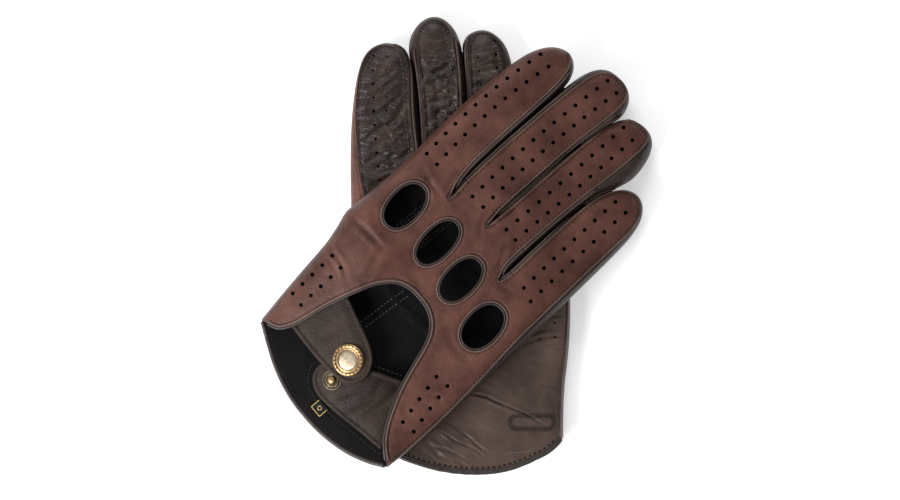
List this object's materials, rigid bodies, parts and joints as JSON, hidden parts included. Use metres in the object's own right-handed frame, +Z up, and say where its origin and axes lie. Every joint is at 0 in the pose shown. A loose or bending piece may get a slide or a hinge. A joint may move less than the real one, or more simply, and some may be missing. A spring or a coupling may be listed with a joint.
{
  "type": "leather driving gloves",
  "caption": "Pair of leather driving gloves with open knuckles, perforations and a snap strap at the wrist, laid one across the other.",
  "frame": {"origin": "on the ground, below the middle of the pair's bounding box", "axes": "+Z up, shortest; +Y along the lower (left) glove towards its fingertips, within 4 degrees; +X towards the upper glove's fingertips"},
  "size_m": [0.1788, 0.2106, 0.0305],
  "materials": {
    "back_leather": "smooth nappa, dark reddish brown, soft sheen",
    "palm_leather": "smooth nappa, black-brown, soft sheen",
    "strap_leather": "two plies, stitched edge, black-brown",
    "snap_brass": "polished, lightly aged",
    "label_cloth": "woven label"
  },
  "bodies": {
    "left_glove": {"left_back_panel": "back_leather", "left_closure_tab": "strap_leather", "left_fourchettes": "palm_leather", "left_hem_binding": "palm_leather", "left_knuckle_rims": "back_leather", "left_palm_panel": "palm_leather", "left_size_label": "label_cloth", "left_snap_rivet": "snap_brass", "left_snap_stud": "snap_brass", "left_strap_root": "strap_leather", "left_thumb_back": "palm_leather", "left_thumb_front": "palm_leather", "left_thumb_gusset": "palm_leather", "left_wrist_binding": "back_leather"},
    "right_glove": {"right_back_panel": "back_leather", "right_closure_tab": "strap_leather", "right_fourchettes": "palm_leather", "right_hem_binding": "palm_leather", "right_knuckle_rims": "back_leather", "right_palm_panel": "palm_leather", "right_size_label": "label_cloth", "right_snap_rivet": "snap_brass", "right_snap_stud": "snap_brass", "right_strap_root": "strap_leather", "right_thumb_back": "palm_leather", "right_thumb_front": "palm_leather", "right_thumb_gusset": "palm_leather", "right_wrist_binding": "back_leather"},
    "left_strap_flap": {"left_snap_cap": "snap_brass", "left_snap_socket": "snap_brass", "left_strap": "strap_leather"},
    "right_strap_flap": {"right_snap_cap": "snap_brass", "right_snap_socket": "snap_brass", "right_strap": "strap_leather"},
    "right_index_tip": {"right_index_tip_back": "back_leather", "right_index_tip_fourchette": "palm_leather", "right_index_tip_palm": "palm_leather"},
    "right_middle_tip": {"right_middle_tip_back": "back_leather", "right_middle_tip_fourchette": "palm_leather", "right_middle_tip_palm": "palm_leather"},
    "right_ring_tip": {"right_ring_tip_back": "back_leather", "right_ring_tip_fourchette": "palm_leather", "right_ring_tip_palm": "palm_leather"},
    "right_little_tip": {"right_little_tip_back": "back_leather", "right_little_tip_fourchette": "palm_leather", "right_little_tip_palm": "palm_leather"},
    "left_index_tip": {"left_index_tip_back": "back_leather", "left_index_tip_fourchette": "palm_leather", "left_index_tip_palm": "palm_leather"},
    "left_middle_tip": {"left_middle_tip_back": "back_leather", "left_middle_tip_fourchette": "palm_leather", "left_middle_tip_palm": "palm_leather"},
    "left_ring_tip": {"left_ring_tip_back": "back_leather", "left_ring_tip_fourchette": "palm_leather", "left_ring_tip_palm": "palm_leather"}
  },
  "joints": [
    {"name": "right_glove_lift", "type": "slide", "parent": "left_glove", "child": "right_glove", "axis": [0, 0, 1], "range_m": [0, 0.15]},
    {"name": "right_strap_open", "type": "hinge", "parent": "right_glove", "child": "right_strap_flap", "pos_m": [-0.072, -0.03912, 0.01778], "axis": [-0.8568, -0.4058, -0.3181], "range_deg": [0, 100]},
    {"name": "left_strap_open", "type": "hinge", "parent": "left_glove", "child": "left_strap_flap", "pos_m": [-0.01847, -0.0825, 0.0014], "axis": [0.1874, 0.9823, 0], "range_deg": [0, 100]},
    {"name": "right_index_bend", "type": "hinge", "parent": "right_glove", "child": "right_index_tip", "pos_m": [0.01695, 0.05846, 0.0305], "axis": [0.6587, -0.7524, 0], "range_deg": [0, 45]},
    {"name": "right_middle_bend", "type": "hinge", "parent": "right_glove", "child": "right_middle_tip", "pos_m": [0.03942, 0.04494, 0.02893], "axis": [0.6587, -0.7524, 0], "range_deg": [0, 45]},
    {"name": "right_ring_bend", "type": "hinge", "parent": "right_glove", "child": "right_ring_tip", "pos_m": [0.05309, 0.02629, 0.02576], "axis": [0.6587, -0.7524, 0], "range_deg": [0, 45]},
    {"name": "right_little_bend", "type": "hinge", "parent": "right_glove", "child": "right_little_tip", "pos_m": [0.05543, -0.00371, 0.02603], "axis": [0.6587, -0.7524, 0], "range_deg": [0, 45]},
    {"name": "left_index_bend", "type": "hinge", "parent": "left_glove", "child": "left_index_tip", "pos_m": [-0.034, 0.05094, 0.012], "axis": [1, -0.0089, 0], "range_deg": [0, 60]},
    {"name": "left_middle_bend", "type": "hinge", "parent": "left_glove", "child": "left_middle_tip", "pos_m": [-0.0092, 0.06771, 0.012], "axis": [0.9999, 0.0153, 0], "range_deg": [0, 60]},
    {"name": "left_ring_bend", "type": "hinge", "parent": "left_glove", "child": "left_ring_tip", "pos_m": [0.01439, 0.0859, 0.012], "axis": [0.9996, 0.0284, 0], "range_deg": [0, 60]}
  ]
}
